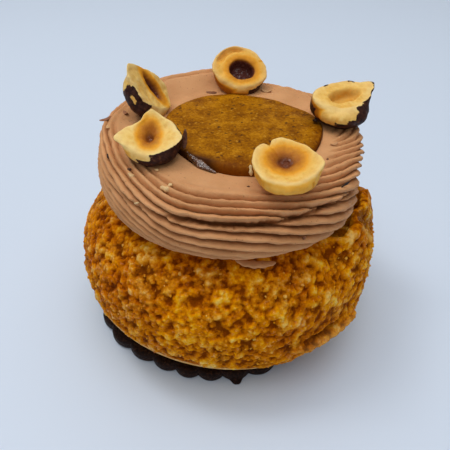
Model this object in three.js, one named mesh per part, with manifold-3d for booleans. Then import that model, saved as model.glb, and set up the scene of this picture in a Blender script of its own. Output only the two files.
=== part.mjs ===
// Choux bun: a craggy round bun on a scalloped cocoa biscuit, topped with a ring of piped
// cream, a praline disc set into the cream, and five roasted hazelnut halves pressed round it.
// Millimetres, +Z up. The front of the bun faces -Y, and it stands on the biscuit's flat underside.
// Azimuths are degrees round +Z, counted from +X.

import * as THREE from "three";
import { mergeVertices } from "three/addons/utils/BufferGeometryUtils.js";
import Module from "manifold-3d";

const wasm = await Module();
wasm.setup();

// Driving dimensions
const fitGap = 0.3; // clearance between pieces that touch
const biscuit = {
  radius: 36,
  thickness: 3.4,
  centre: [-4, 0.7],
  scallops: 30,
  scallopDepth: 1.3,
  bevel: 0.7,
  pointsPerScallop: 4,
};
const bun = {
  radius: 40.4, // at the widest
  widestHeight: 19,
  lowerReach: 15.4, // from the widest height down to the underside
  lowerRoundness: 3.8, // superellipse power, higher is boxier
  footRadius: 24, // of the flat underside
  upperReach: 24, // from the widest height up to where the dome would close
  upperRoundness: 2.5,
  rimHeight: 37.4, // where the cap was cut off
  rimWidth: 1.6,
  rimDrop: 0.4, // the rim slopes inwards by this much
  seatHeight: 35.4, // the cut crumb that the cream sits on
  profilePoints: 16,
  columns: 74,
  sideRows: 20,
};
// The crust wall that stands clear of the cream, a split in the crust, and the crust spread at the foot.
const tallRim = { azimuth: 8, spread: 52, extraReach: 9, rise: 1.2, riseFrom: 0.4, gapToCream: 1 };
const crack = { azimuth: -19, spread: 9, depth: 1.8, from: 22, to: 34 };
const skirt = { azimuth: -50, spread: 26, height: 6, rise: 5, reach: 2 };
const crag = {
  cell: 6.5,
  height: 1.4,
  swellCell: 17,
  swellHeight: 1,
  inset: 0.95, // the crags start this far inside the smooth form
  lumpReach: 0.8, // a lump's radius as a share of its cell
  footFade: 0.15,
  rimFade: 0.93,
  seed: 11,
};

// The cream's wall as (radius, height) points, from its lip on the bun to its flat top.
// Towards the front it has sagged to a lower, rounder shoulder than round the sides and back.
const cream = {
  centre: [1.8, 0],
  plugRadius: 26, // the cream inside the bun's rim
  sideWall: [[30.2, 38], [33.8, 45.2], [33.2, 51], [30.6, 54.2], [22.9, 54.2]],
  frontWall: [[30.2, 38], [33.3, 44.2], [31.7, 48.6], [28.6, 51.3], [22.9, 52.5]],
  brimDrop: 0.4, // the top rounds off into the disc's well by this much
  wallRows: 34,
  columns: 84,
};
const sag = { azimuth: -78, spread: 100 };
const ridge = { onWall: 8, perTurn: 20, depth: 1, fadeIn: 0.05, fadeFrom: 0.72, fadeTo: 0.92 };
const crease = { along: 0.52, fall: 0.2, width: 0.045, depth: 1.4, azimuth: -75, spread: 95 };
const tail = { azimuth: 101, step: 9, end: 168, height: 2.6, from: 0.5, crown: 0.72, taper: 0.7 };
const disc = {
  centre: [4.1, 1.5],
  radius: 19,
  underside: 50.4,
  top: 55,
  edgeRound: 1.5,
  edgeTurns: [0, 30, 60, 90],
  dome: 0.5,
  columns: 44,
};

// Each nut half has its cut face centred at `at` and looking along `facing`; `tip` is where its blunt
// point lies, in degrees round the face. The face waves by `wave` and dips to the seed's hollow, `pit`.
const nuts = [
  { at: [-19, 8.4, 60.4], facing: [0.78, -0.22, 0.6], tip: 110, half: 7, depth: 6, pit: 3.2, wave: 0.5 },
  { at: [3.4, 25.2, 60.2], facing: [0.1, -0.55, 0.83], tip: 150, half: 7.1, depth: 6.8, pit: 4.4, wave: 0.4 },
  { at: [28.2, 4.6, 60.6], facing: [0.1, -0.1, 0.98], tip: 35, half: 7.5, depth: 7.2, pit: 2.2, wave: 0.4 },
  { at: [-16.6, -12, 59.3], facing: [0.02, -0.22, 0.97], tip: 185, half: 7.1, depth: 6.4, pit: 3, wave: 0.9 },
  { at: [12.1, -22, 58.5], facing: [-0.04, -0.14, 0.99], tip: 8, half: 6.9, depth: 6.6, pit: 2.8, wave: 0.4 },
];
const nutShape = {
  columns: 20,
  bowlRows: 5,
  lip: 0.07, // the rounded edge of the cut face, as a share of the half width
  tipLength: 0.16, // the point stands out by this share of the half width
  tipSpread: 24,
  faceStart: 0.62, // where the face begins to dip, as a share of the half width
  faceWave: 0.6, // the share of the edge's wave that is left there
  faceDip: 0.3,
  pitSink: 0.5,
  pitSteps: [[1, 0.28], [0.5, 0.75], [0, 0.9]], // (radius, depth) as shares of the pit
};

// Finishes
const finish = (color, roughness) => new THREE.MeshStandardMaterial({ color, roughness, metalness: 0 });
const crustFinish = finish(0xb8761f, 0.75);
const creamFinish = finish(0xb98a66, 0.6);
const pralineFinish = finish(0x96611a, 0.35);
const nutFinish = finish(0xe6b863, 0.55);
const biscuitFinish = finish(0x2a1712, 0.5);

const { degToRad, lerp, euclideanModulo, smoothstep } = THREE.MathUtils;
const at = (x, y) => new THREE.Vector2(x, y);
const outward = (azimuth) => at(Math.cos(degToRad(azimuth)), Math.sin(degToRad(azimuth)));

// Degrees from one azimuth to another, from -180 to 180.
const turnFrom = (azimuth, centre) => euclideanModulo(azimuth - centre + 180, 360) - 180;

// 1 at a feature's azimuth, falling smoothly to 0 at its spread to either side.
function near(azimuth, feature) {
  return 1 - smoothstep(Math.abs(turnFrom(azimuth, feature.azimuth)), 0, feature.spread);
}

// A repeatable random number from 0 to 1 for a whole-numbered cell.
function cellRandom(i, j, k, seed) {
  const place = Math.imul(i, 374761393) ^ Math.imul(j, 668265263) ^ Math.imul(k, 1442695041);
  let h = place ^ Math.imul(seed, 97531);
  h = Math.imul(h ^ (h >>> 15), 2246822519);
  h = Math.imul(h ^ (h >>> 13), 3266489917);
  return ((h ^ (h >>> 16)) >>> 0) / 2 ** 32;
}

// Rounded lumps about `cell` across: 1 on a lump's middle, 0 in the cracks between lumps.
function lumps(point, cell, seed) {
  const home = point.toArray().map((v) => Math.floor(v / cell));
  let nearest = Infinity;
  for (let i = -1; i <= 1; i++)
    for (let j = -1; j <= 1; j++)
      for (let k = -1; k <= 1; k++) {
        const c = [home[0] + i, home[1] + j, home[2] + k];
        const middle = c.map((v, axis) => (v + cellRandom(...c, seed + axis)) * cell);
        nearest = Math.min(nearest, point.distanceTo(new THREE.Vector3(...middle)));
      }
  return Math.max(0, 1 - (nearest / (crag.lumpReach * cell)) ** 2);
}

// A closed body turned about +Z whose section may differ at each azimuth. sectionAt gives
// points (radius, height) from the foot of the axis to its top, always equally many.
function turned(sectionAt, columns) {
  const geometry = new THREE.LatheGeometry(sectionAt(0), columns);
  geometry.deleteAttribute("normal");
  geometry.deleteAttribute("uv");
  const position = geometry.getAttribute("position");
  const rows = sectionAt(0).length;
  for (let column = 0; column <= columns; column++) {
    const azimuth = ((column % columns) / columns) * 360;
    const out = outward(azimuth);
    sectionAt(azimuth).forEach((p, row) => {
      position.setXYZ(column * rows + row, p.x * out.x, p.x * out.y, p.y);
    });
  }
  return mergeVertices(geometry);
}

function meshOf(name, geometry, material, [x, y] = [0, 0]) {
  const mesh = new THREE.Mesh(geometry, material);
  mesh.name = name;
  mesh.position.set(x, y, 0);
  return mesh;
}

// The cocoa biscuit, cut with a scalloped cutter.
function biscuitBody() {
  const steps = biscuit.scallops * biscuit.pointsPerScallop;
  const outline = Array.from({ length: steps }, (_, i) => {
    const azimuth = (i / steps) * 360;
    const dip = 1 - Math.abs(Math.cos(degToRad(azimuth * biscuit.scallops) / 2));
    return outward(azimuth).multiplyScalar(biscuit.radius - biscuit.bevel - biscuit.scallopDepth * dip);
  });
  const geometry = new THREE.ExtrudeGeometry(new THREE.Shape(outline), {
    depth: biscuit.thickness - 2 * biscuit.bevel,
    bevelThickness: biscuit.bevel,
    bevelSize: biscuit.bevel,
    bevelSegments: 1,
  });
  return geometry.translate(0, 0, biscuit.bevel);
}

// Radius of the bun's smooth form at a height: a superellipse, boxier below than above.
function bunRadius(height, azimuth) {
  const above = height > bun.widestHeight;
  const reach = above ? bun.upperReach + tallRim.extraReach * near(azimuth, tallRim) : bun.lowerReach;
  const power = above ? bun.upperRoundness : bun.lowerRoundness;
  const share = Math.min(1, Math.abs(height - bun.widestHeight) / reach);
  const flare = Math.exp(-(((height - skirt.height) / skirt.rise) ** 2));
  const form = Math.max(bun.footRadius, bun.radius * (1 - share ** power) ** (1 / power));
  return form + skirt.reach * flare * near(azimuth, skirt);
}

// How far the baked crust stands out from the smooth form: crags, broad swells and one split.
function crustRelief(radius, height, azimuth) {
  const out = outward(azimuth).multiplyScalar(radius);
  const spot = new THREE.Vector3(out.x, out.y, height);
  const crags = crag.height * lumps(spot, crag.cell, crag.seed);
  const swells = crag.swellHeight * lumps(spot, crag.swellCell, crag.seed + 1);
  const split = crack.depth * near(azimuth, crack) * smoothstep(height, crack.from, crack.to);
  return crags + swells - crag.inset - split;
}

// The baked bun with its cap cut off, and the shallow seat that the cream is piped into.
function bunBody() {
  const underside = biscuit.thickness + fitGap;
  const lipReach = cream.sideWall[0][0] - cream.plugRadius;
  const sectionAt = (azimuth) => {
    const tall = near(azimuth, tallRim);
    const rimHeight = bun.rimHeight + tallRim.rise * smoothstep(tall, tallRim.riseFrom, 1);
    const profile = Array.from({ length: bun.profilePoints }, (_, i) => {
      const height = lerp(underside, rimHeight, i / (bun.profilePoints - 1));
      return at(bunRadius(height, azimuth), height);
    });
    const curve = new THREE.SplineCurve(profile);
    const side = Array.from({ length: bun.sideRows }, (_, row) => {
      const along = row / (bun.sideRows - 1);
      const p = curve.getPointAt(along);
      const tangent = curve.getTangentAt(along);
      const fade = smoothstep(along, 0, crag.footFade) * (1 - smoothstep(along, crag.rimFade, 1));
      return p.addScaledVector(at(tangent.y, -tangent.x), crustRelief(p.x, p.y, azimuth) * fade);
    });
    const rim = side[side.length - 1];
    const plug = cream.plugRadius + at(...cream.centre).dot(outward(azimuth)) + fitGap;
    const clear = (lipReach + tallRim.gapToCream) * smoothstep(tall, 0, tallRim.riseFrom);
    const inner = Math.min(plug + clear, rim.x - bun.rimWidth);
    return [
      at(0, underside),
      ...side,
      at(inner, rimHeight - bun.rimDrop),
      at(inner, bun.seatHeight),
      at(0, bun.seatHeight),
    ];
  };
  return turned(sectionAt, bun.columns);
}

// The cream's smooth wall at an azimuth, between the sagged front and the upright sides.
function creamWall(azimuth) {
  const sagged = near(azimuth, sag);
  const points = cream.sideWall.map((p, i) => at(...p).lerp(at(...cream.frontWall[i]), sagged));
  return new THREE.SplineCurve(points);
}

// Piped ridges: rounded crests with sharp grooves that wind down round the wall, and the crease
// where the upper turn of piping rests on the lower one.
function ridgeRelief(along, azimuth) {
  const phase = euclideanModulo(along * ridge.onWall + (azimuth / 360) * ridge.perTurn, 1);
  const groove = (2 * phase - 1) ** 2;
  const fade = smoothstep(along, 0, ridge.fadeIn) * (1 - smoothstep(along, ridge.fadeFrom, ridge.fadeTo));
  const past = Math.max(0, turnFrom(azimuth, crease.azimuth)) / 90;
  const off = (along - crease.along + crease.fall * past) / crease.width;
  return -ridge.depth * groove * fade - crease.depth * Math.exp(-(off ** 2)) * near(azimuth, crease);
}

// The end of the piping stands up in a step and runs back down into the ring.
function tailLift(along, azimuth) {
  const past = euclideanModulo(azimuth, 360) - tail.azimuth;
  const round = smoothstep(past, 0, tail.step) * (1 - smoothstep(past, tail.step, tail.end - tail.azimuth));
  const inwards = 1 - tail.taper * smoothstep(along, tail.crown, 1);
  return tail.height * round * smoothstep(along, tail.from, tail.crown) * inwards;
}

// The piped ring with the cream inside the bun's rim and the well that holds the praline disc.
function creamBody() {
  const wellOffset = at(...disc.centre).sub(at(...cream.centre));
  const wellRadius = disc.radius + fitGap;
  const wellFloor = disc.underside - fitGap;
  const floor = bun.seatHeight + fitGap;
  const lipHeight = cream.sideWall[0][1];
  const sectionAt = (azimuth) => {
    const toWell = wellOffset.dot(outward(azimuth));
    const well = toWell + Math.sqrt(wellRadius ** 2 - wellOffset.lengthSq() + toWell ** 2);
    const curve = creamWall(azimuth);
    const wall = Array.from({ length: cream.wallRows }, (_, row) => {
      const along = row / (cream.wallRows - 1);
      const p = curve.getPointAt(along);
      const tangent = curve.getTangentAt(along);
      p.addScaledVector(at(tangent.y, -tangent.x), ridgeRelief(along, azimuth));
      return p.setY(p.y + tailLift(along, azimuth));
    });
    const brim = wall[wall.length - 1];
    return [
      at(0, floor),
      at(cream.plugRadius, floor),
      at(cream.plugRadius, lipHeight),
      ...wall,
      at(well, brim.y - cream.brimDrop),
      at(well, wellFloor),
      at(0, wellFloor),
    ];
  };
  return turned(sectionAt, cream.columns);
}

// The praline disc: a set puck with a rounded upper edge and a faintly domed face.
function discBody() {
  const { radius, underside, top, edgeRound, edgeTurns, dome } = disc;
  const edge = edgeTurns.map((turn) => {
    const out = outward(turn);
    return at(radius - edgeRound * (1 - out.x), top - dome - edgeRound * (1 - out.y));
  });
  const face = [at(radius / 2, top - dome / 4), at(0, top)];
  const section = [at(0, underside), at(radius, underside), ...edge, ...face];
  return turned(() => section, disc.columns);
}

// Outline of a nut's cut face: round, with a blunt point.
function nutReach(nut, azimuth) {
  const off = turnFrom(azimuth, nut.tip) / nutShape.tipSpread;
  return nut.half * (1 + nutShape.tipLength * Math.exp(-(off ** 2)));
}

// One hazelnut half: a round bowl below, a lip, and the closing points of its face.
function nutSection(nut, azimuth, grow, face) {
  const reach = nutReach(nut, azimuth) + grow;
  const wave = nutWave(nut, azimuth);
  const bowl = Array.from({ length: nutShape.bowlRows }, (_, row) => {
    const turn = outward(((row + 1) / nutShape.bowlRows) * 90);
    return at(reach * turn.y, -(nut.depth + grow) * turn.x + wave * turn.y ** 4);
  });
  const lip = at(reach * (1 - nutShape.lip), wave + nut.half * nutShape.lip + grow);
  return [at(0, -nut.depth - grow), ...bowl, lip, ...face];
}

const nutWave = (nut, azimuth) => nut.wave * Math.sin(degToRad(2 * azimuth + nut.tip));

// A nut half with the seed's hollow in its face.
function nutBody(nut) {
  const pit = nutShape.pitSteps.map(([r, depth]) => at(r * nut.pit, -depth * nut.pit - nutShape.pitSink));
  const sectionAt = (azimuth) => {
    const dip = nutShape.faceWave * nutWave(nut, azimuth) - nutShape.faceDip;
    return nutSection(nut, azimuth, 0, [at(nutReach(nut, azimuth) * nutShape.faceStart, dip), ...pit]);
  };
  return turned(sectionAt, nutShape.columns);
}

// What a nut presses out of the cream and the disc: its own form, larger by the clearance.
function nutDent(nut, [x, y]) {
  const closing = at(0, nut.half * nutShape.lip + fitGap);
  const dent = turned((azimuth) => nutSection(nut, azimuth, fitGap, [closing]), nutShape.columns);
  const placed = placeNut(new THREE.Object3D(), nut);
  return solid(dent.applyMatrix4(placed.matrix).translate(-x, -y, 0));
}

function placeNut(object, nut) {
  object.position.set(...nut.at);
  const facing = new THREE.Vector3(...nut.facing).normalize();
  object.quaternion.setFromUnitVectors(new THREE.Vector3(0, 0, 1), facing);
  object.updateMatrix();
  return object;
}

// A geometry as a closed solid that can be cut, and back.
function solid(geometry) {
  const merged = mergeVertices(geometry);
  const vertProperties = new Float32Array(merged.getAttribute("position").array);
  const triVerts = new Uint32Array(merged.index.array);
  return new wasm.Manifold(new wasm.Mesh({ numProp: 3, vertProperties, triVerts }));
}

function geometryOf(manifold) {
  const { vertProperties, triVerts } = manifold.getMesh();
  const geometry = new THREE.BufferGeometry();
  geometry.setAttribute("position", new THREE.BufferAttribute(new Float32Array(vertProperties), 3));
  return geometry.setIndex(new THREE.BufferAttribute(new Uint32Array(triVerts), 1));
}

function pressed(geometry, centre) {
  return geometryOf(nuts.reduce((body, nut) => body.subtract(nutDent(nut, centre)), solid(geometry)));
}

const pastry = new THREE.Group();
pastry.add(
  meshOf("cocoa_base", biscuitBody(), biscuitFinish, biscuit.centre),
  meshOf("choux_bun", bunBody(), crustFinish),
  meshOf("cream_ring", pressed(creamBody(), cream.centre), creamFinish, cream.centre),
  meshOf("praline_disc", pressed(discBody(), disc.centre), pralineFinish, disc.centre),
);
nuts.forEach((nut, i) => {
  pastry.add(placeNut(meshOf(`hazelnut_${i + 1}`, nutBody(nut), nutFinish), nut));
});

// The frame's origin is under the middle of the whole, on the surface that it stands on.
const extent = new THREE.Box3().setFromObject(pastry);
const middle = extent.getCenter(new THREE.Vector3());
pastry.position.set(-middle.x, -middle.y, -extent.min.z);

const part = new THREE.Group();
part.add(pastry);

export default part;
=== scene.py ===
import math

import bmesh
import bpy
import numpy as np
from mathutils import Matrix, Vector


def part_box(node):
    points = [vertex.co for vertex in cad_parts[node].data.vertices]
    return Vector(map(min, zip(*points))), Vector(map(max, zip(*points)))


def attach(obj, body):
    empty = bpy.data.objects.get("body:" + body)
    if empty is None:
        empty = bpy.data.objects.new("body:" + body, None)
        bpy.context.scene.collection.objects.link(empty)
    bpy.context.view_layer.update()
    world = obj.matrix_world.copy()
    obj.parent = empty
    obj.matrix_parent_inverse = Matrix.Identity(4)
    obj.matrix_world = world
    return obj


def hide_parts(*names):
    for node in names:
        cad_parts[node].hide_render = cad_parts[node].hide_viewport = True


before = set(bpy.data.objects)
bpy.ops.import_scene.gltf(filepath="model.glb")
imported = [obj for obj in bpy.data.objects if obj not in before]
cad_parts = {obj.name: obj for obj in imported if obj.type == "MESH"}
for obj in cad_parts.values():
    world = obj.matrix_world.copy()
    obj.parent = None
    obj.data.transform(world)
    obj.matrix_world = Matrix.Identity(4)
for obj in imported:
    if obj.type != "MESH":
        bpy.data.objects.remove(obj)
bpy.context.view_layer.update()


# Cocoa biscuit: the thin round base under the bun, a dark cocoa shortcrust.
# It is rolled out, cut with a fluted cutter and baked, so its lobes are soft and its top is grainy.
MM = 0.001  # sizes are in millimetres, and the frame is in metres
disc_aside = (4.1, 1.5)  # how far the praline disc lies off the bun's axis

disc_low, disc_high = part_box("praline_disc")
disc_axis = np.array(((disc_low + disc_high) / 2 / MM).xy)
bun_axis = disc_axis - disc_aside

biscuit_axis = bun_axis + (-4, 0.7)
biscuit_radius = 36
biscuit_thickness = 3.4
biscuit_waver = 0.4  # how far the cut is out of round
lobe_count = 30
lobe_depth = 1.5
lobe_fullness = 0.7  # below 1 the lobes are full and the notches between them narrow
lobe_drift = 34  # degrees of a lobe by which they are unevenly spaced
edge_rounding = 1.1
full_turn, full_spread, full_reach = -66, 26, 1.3  # the biscuit was cut wider towards the front right
drip_turn, drip_spread, drip_reach = -80, 2.2, 1.4  # a drop of dough that ran out from one lobe
biscuit_columns = 720
edge_rows = 15


def smooth_step(value, start, end):
    share = np.clip((value - start) / (end - start), 0, 1)
    return share * share * (3 - 2 * share)


def turn_from(turn, middle):
    return (turn - middle + 180) % 360 - 180


def near(turn, middle, spread):
    """1 at a place round the axis, falling smoothly to 0 at `spread` degrees to either side."""
    return 1 - smooth_step(np.abs(turn_from(turn, middle)), 0, spread)


def wave(turn, count, start=0):
    return np.sin(np.radians(turn * count + start))


def all_round(columns):
    """Turns in degrees, evenly spaced round the axis."""
    return np.linspace(0, 360, columns, endpoint=False)


def turned_rings(turns, radius, height):
    """Points on rings round +Z, as an array of ring by column by (x, y, z)."""
    radius, height, angle = np.broadcast_arrays(radius, height, np.radians(turns))
    return np.stack([radius * np.cos(angle), radius * np.sin(angle), height], axis=-1)


def shown(name, mesh):
    piece = bpy.data.objects.new(name, mesh)
    bpy.context.collection.objects.link(piece)
    return piece


def ringed_piece(name, rings, shift, **marks):
    """A closed skin through rings of points, from its lower pole to its upper one, with named marks."""
    ring_count, column_count, _ = rings.shape
    poles = np.stack([rings[0].mean(axis=0), rings[-1].mean(axis=0)])
    points = (np.concatenate([rings.reshape(-1, 3), poles]) + (*shift, 0)) * MM
    here = np.arange(column_count)
    beside = (here + 1) % column_count
    start = np.arange(ring_count - 1)[:, None] * column_count
    above = start + column_count
    sides = np.stack([start + here, start + beside, above + beside, above + here], axis=-1)
    low_pole = ring_count * column_count
    last = (ring_count - 1) * column_count
    caps = [(low_pole, b, a) for a, b in zip(here, beside)]
    caps += [(last + a, last + b, low_pole + 1) for a, b in zip(here, beside)]
    mesh = bpy.data.meshes.new(name)
    mesh.from_pydata(points.tolist(), [], sides.reshape(-1, 4).tolist() + caps)
    for mark, values in marks.items():
        values = np.broadcast_to(values, (ring_count, column_count))
        ends = [values[0].mean(), values[-1].mean()]
        layer = mesh.attributes.new(mark, "FLOAT", "POINT")
        layer.data.foreach_set("value", np.append(values.ravel(), ends).astype(np.float32))
    mesh.shade_smooth()
    mesh.update()
    return shown(name, mesh)


class Wire:
    """What comes out of a node. Sums written with it add the nodes that work them out."""

    def __init__(self, tree, socket):
        self.tree = tree
        self.socket = socket

    def __add__(self, other):
        return sum_of("ADD", self, other)

    def __sub__(self, other):
        return sum_of("SUBTRACT", self, other)

    def __mul__(self, other):
        return sum_of("MULTIPLY", self, other)

    def __truediv__(self, other):
        return sum_of("DIVIDE", self, other)

    def __rtruediv__(self, other):
        return sum_of("DIVIDE", other, self)

    def __pow__(self, other):
        return sum_of("POWER", self, other)


def fill(node, inputs):
    """Gives a node's inputs their values, or their wires from other nodes."""
    for socket, value in inputs.items():
        if isinstance(value, Wire):
            value.tree.links.new(value.socket, node.inputs[socket])
        else:
            node.inputs[socket].default_value = value


def put(tree, kind, inputs, out=0, **settings):
    """Adds a node with its settings and inputs, and gives back the wire from one of its outputs."""
    node = tree.nodes.new(kind)
    for setting, value in settings.items():
        setattr(node, setting, value)
    fill(node, inputs)
    return Wire(tree, node.outputs[out])


def sum_of(operation, *values, clamp=False):
    tree = next(value.tree for value in values if isinstance(value, Wire))
    return put(tree, "ShaderNodeMath", dict(enumerate(values)), operation=operation, use_clamp=clamp)


def ease(wire, start, end, low=0.0, high=1.0):
    """A smooth change from `low` to `high` while the wire goes from start to end."""
    inputs = {0: wire, 1: start, 2: end, 3: low, 4: high}
    return put(wire.tree, "ShaderNodeMapRange", inputs, interpolation_type="SMOOTHSTEP")


def blend(share, first, second):
    """The first colour where the share is 0, and the second where it is 1."""
    return put(share.tree, "ShaderNodeMix", {0: share, 6: first, 7: second}, out=2, data_type="RGBA")


def colour_steps(wire, *steps):
    """Colours at places from 0 to 1, blended between."""
    ramp = wire.tree.nodes.new("ShaderNodeValToRGB")
    stops = ramp.color_ramp.elements
    while len(stops) < len(steps):
        stops.new(0.5)
    for stop, (place, colour) in zip(stops, steps):
        stop.position = place
        stop.color = (*colour, 1)
    fill(ramp, {0: wire})
    return Wire(wire.tree, ramp.outputs[0])


def scaled(vector, factor):
    return put(vector.tree, "ShaderNodeVectorMath", {0: vector, 3: factor}, operation="SCALE")


def shifted(vector, offset):
    return put(vector.tree, "ShaderNodeVectorMath", {0: vector, 1: offset}, operation="ADD")


def millimetres(tree):
    """The place on the piece in millimetres, for patterns at true size."""
    if tree.type == "GEOMETRY":
        place = put(tree, "GeometryNodeInputPosition", {})
    else:
        place = put(tree, "ShaderNodeTexCoord", {}, out="Object")
    return scaled(place, 1 / MM)


def mark_of(tree, name):
    if tree.type == "GEOMETRY":
        return put(tree, "GeometryNodeInputNamedAttribute", {"Name": name}, data_type="FLOAT")
    return put(tree, "ShaderNodeAttribute", {}, out="Fac", attribute_name=name)


def speckle(place, size, detail=2.0, roughness=0.5, out="Fac"):
    """Cloudy noise from 0 to 1, with lumps of about that size in millimetres."""
    inputs = {"Vector": place, "Scale": 1 / size, "Detail": detail, "Roughness": roughness}
    return put(place.tree, "ShaderNodeTexNoise", inputs, out)


def cells(place, size):
    """How far it is to the nearest of many scattered dots, which lie about that size apart."""
    return put(place.tree, "ShaderNodeTexVoronoi", {"Vector": place, "Scale": 1 / size}, "Distance")


def roughened(height, depth):
    """A fine surface too small to model, as a bump of that depth in millimetres."""
    inputs = {"Height": height, "Distance": depth * MM, "Strength": 1.0}
    return put(height.tree, "ShaderNodeBump", inputs)


def food_finish(name, **settings):
    material = bpy.data.materials.new(name)
    material.use_nodes = True
    shader = material.node_tree.nodes["Principled BSDF"]
    for socket, value in settings.items():
        shader.inputs[socket.replace("_", " ")].default_value = value
    return material, material.node_tree, shader


biscuit_turns = all_round(biscuit_columns)
uneven_lobes = biscuit_turns * lobe_count / 2 + lobe_drift * wave(biscuit_turns, 4, 20)
lobes = np.abs(wave(uneven_lobes, 1)) ** lobe_fullness
lobe_reach = biscuit_radius + biscuit_waver * wave(biscuit_turns, 7)
lobe_reach = lobe_reach + full_reach * near(biscuit_turns, full_turn, full_spread)
drip = drip_reach * np.exp(-((turn_from(biscuit_turns, drip_turn) / drip_spread) ** 4))
edge_angles = np.radians(np.linspace(-90, 90, edge_rows))[:, None]
edge_in = lobe_reach - lobe_depth * (1 - lobes) - edge_rounding * (1 - np.cos(edge_angles))
edge_out = edge_in + drip * smooth_step(-edge_angles, -0.1, 0.8)
straight_edge = np.where(edge_angles > 0, biscuit_thickness - 2 * edge_rounding, 0)
edge_height = straight_edge + edge_rounding * (1 + np.sin(edge_angles))
face_shares = np.array([0.3, 0.6, 0.85])[:, None]
biscuit_rings = np.concatenate([
    turned_rings(biscuit_turns, face_shares * edge_in[0], 0.0),
    turned_rings(biscuit_turns, edge_out, edge_height),
    turned_rings(biscuit_turns, face_shares[::-1] * edge_in[-1], biscuit_thickness),
])
biscuit = ringed_piece("cocoa_biscuit", biscuit_rings, biscuit_axis)

cocoa, shade, shader = food_finish("baked cocoa biscuit", Roughness=0.42, Specular_IOR_Level=0.08)
cocoa_grain = speckle(millimetres(shade), 0.6, 4.0, 0.6)
cocoa_colour = colour_steps(
    cocoa_grain,
    (0.3, (0.006, 0.0025, 0.002)),
    (0.55, (0.021, 0.008, 0.005)),
    (0.75, (0.075, 0.03, 0.014)),
)
fill(shader, {"Base Color": cocoa_colour, "Normal": roughened(cocoa_grain, 0.35)})
biscuit.data.materials.append(cocoa)
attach(biscuit, "root")
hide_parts("cocoa_base")


# Choux bun: the round pastry shell under a sugar crust, with its cap cut off flat.
# The crust is a butter and sugar dough that bakes onto the rising bun and cracks into golden crumbs,
# crags and pits. Its foot keeps a thin pale edge, and at the front right the crust has rolled under.
bun_radius = 40.4
widest_height = 19
crown_reach, crown_power = 24, 2.5  # the height over which it rounds in above, and how boxy that is
standing_reach = 14  # more height where the crust stands up
under_reach, under_power = 15.4, 3.8
foot_height = 3.7
foot_radius = 24
lip_height, lip_width, lip_reach = 8.8, 1.3, 0.3  # the pale edge at the foot
rim_height = 37.4
rim_width = 1.6
seat_height = 35.4
seat_radius = 26.3
cream_aside = 1.8  # how far the cream's ring lies to the right of the bun's axis
tall_rim_turn, tall_rim_spread, tall_rim_rise = -20, 36, 1.0  # crust that stands clear of the cream
tall_rim_gap = 6.4
peak_turn, peak_spread, peak_rise = -17, 16, 1.6
split_turn, split_height, split_lean, split_depth = -29, 38.5, 1.1, 1.8  # where the tall rim has cracked
roll_turn, roll_spread, roll_reach = -52, 22, 1.8  # the crust rolled outwards at the foot
roll_height, roll_width = 15.8, 0.9
tuck_drop, tuck_depth = 1.9, 1.0  # it is drawn in again below the roll
groove_turn, groove_spread, groove_rise, groove_depth = -51, 15, 1.7, 1.8  # the fold above the roll
groove_width, groove_climb = 0.75, 2
slim_turn, slim_spread, slim_depth = -110, 56, 1.1  # less full at the front left
crust_start = 10.4  # the height at which the crags begin above the pale edge
crust_columns = 640
profile_steps = 300
under_rows, under_share = 12, 0.17  # on the underside, which curves in to the foot
crust_rows = 130
rim_crust, seat_crust = 0.4, 0.35  # the cut edge and the seat are less craggy


def hump(value, middle, width):
    """1 in the middle, falling to nothing at about twice the width to either side."""
    return np.exp(-(((value - middle) / width) ** 2))


def upright(turn):
    """1 where the crust stands up as a wall beside the cream, and 0 where it rounds in under it."""
    return smooth_step(near(turn, tall_rim_turn, tall_rim_spread), 0.2, 0.75)


def folded(height, turn):
    """1 along the dark fold over the rolled crust, which climbs to the right."""
    fold_height = roll_height + groove_rise + groove_climb * smooth_step(turn_from(turn, groove_turn), 2, 9)
    in_fold = smooth_step(near(turn, groove_turn, groove_spread), 0, 0.6)
    return hump(height, fold_height, groove_width) * in_fold


def past_split(height, turn):
    """Degrees past the edge of the cracked flap, which leans as it runs down from the rim."""
    return turn_from(turn, split_turn) - (split_height - height) * split_lean


def sunk(height, turn):
    """1 just past the crack, where the crust has sunk behind the flap."""
    past = past_split(height, turn)
    return smooth_step(past, 0, 1.5) * (1 - smooth_step(past, 4, 12)) * smooth_step(height, 30, 34)


def bun_form(height, turn):
    """Radius of the bun's smooth form, boxier below its widest height than above."""
    above = height > widest_height
    reach = np.where(above, crown_reach + standing_reach * upright(turn), under_reach)
    power = np.where(above, crown_power, under_power)
    share = np.minimum(1, np.abs(height - widest_height) / reach)
    form = np.maximum(foot_radius, bun_radius * (1 - share**power) ** (1 / power))
    form = form - slim_depth * near(turn, slim_turn, slim_spread) * smooth_step(widest_height - height, 0, 8)
    roll = hump(height, roll_height, roll_width) * smooth_step(near(turn, roll_turn, roll_spread), 0, 0.5)
    tuck = hump(height, roll_height - tuck_drop, roll_width) * near(turn, roll_turn - 4, roll_spread - 8)
    lip = hump(height, lip_height, lip_width) * (1 - near(turn, roll_turn, roll_spread + 8))
    form = form + roll_reach * roll - tuck_depth * tuck + lip_reach * lip
    return form - groove_depth * folded(height, turn) - split_depth * sunk(height, turn)


def along_profile(wanted, radius, height, *others):
    """Profiles for each column, moved to the wanted shares of their own length."""
    steps = np.hypot(np.diff(radius, axis=0), np.diff(height, axis=0))
    along = np.concatenate([np.zeros((1, steps.shape[1])), np.cumsum(steps, axis=0)])
    along /= along[-1]
    columns = range(radius.shape[1])
    return [
        np.stack([np.interp(wanted, along[:, c], profile[:, c]) for c in columns], axis=1)
        for profile in (radius, height, *others)
    ]


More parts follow.
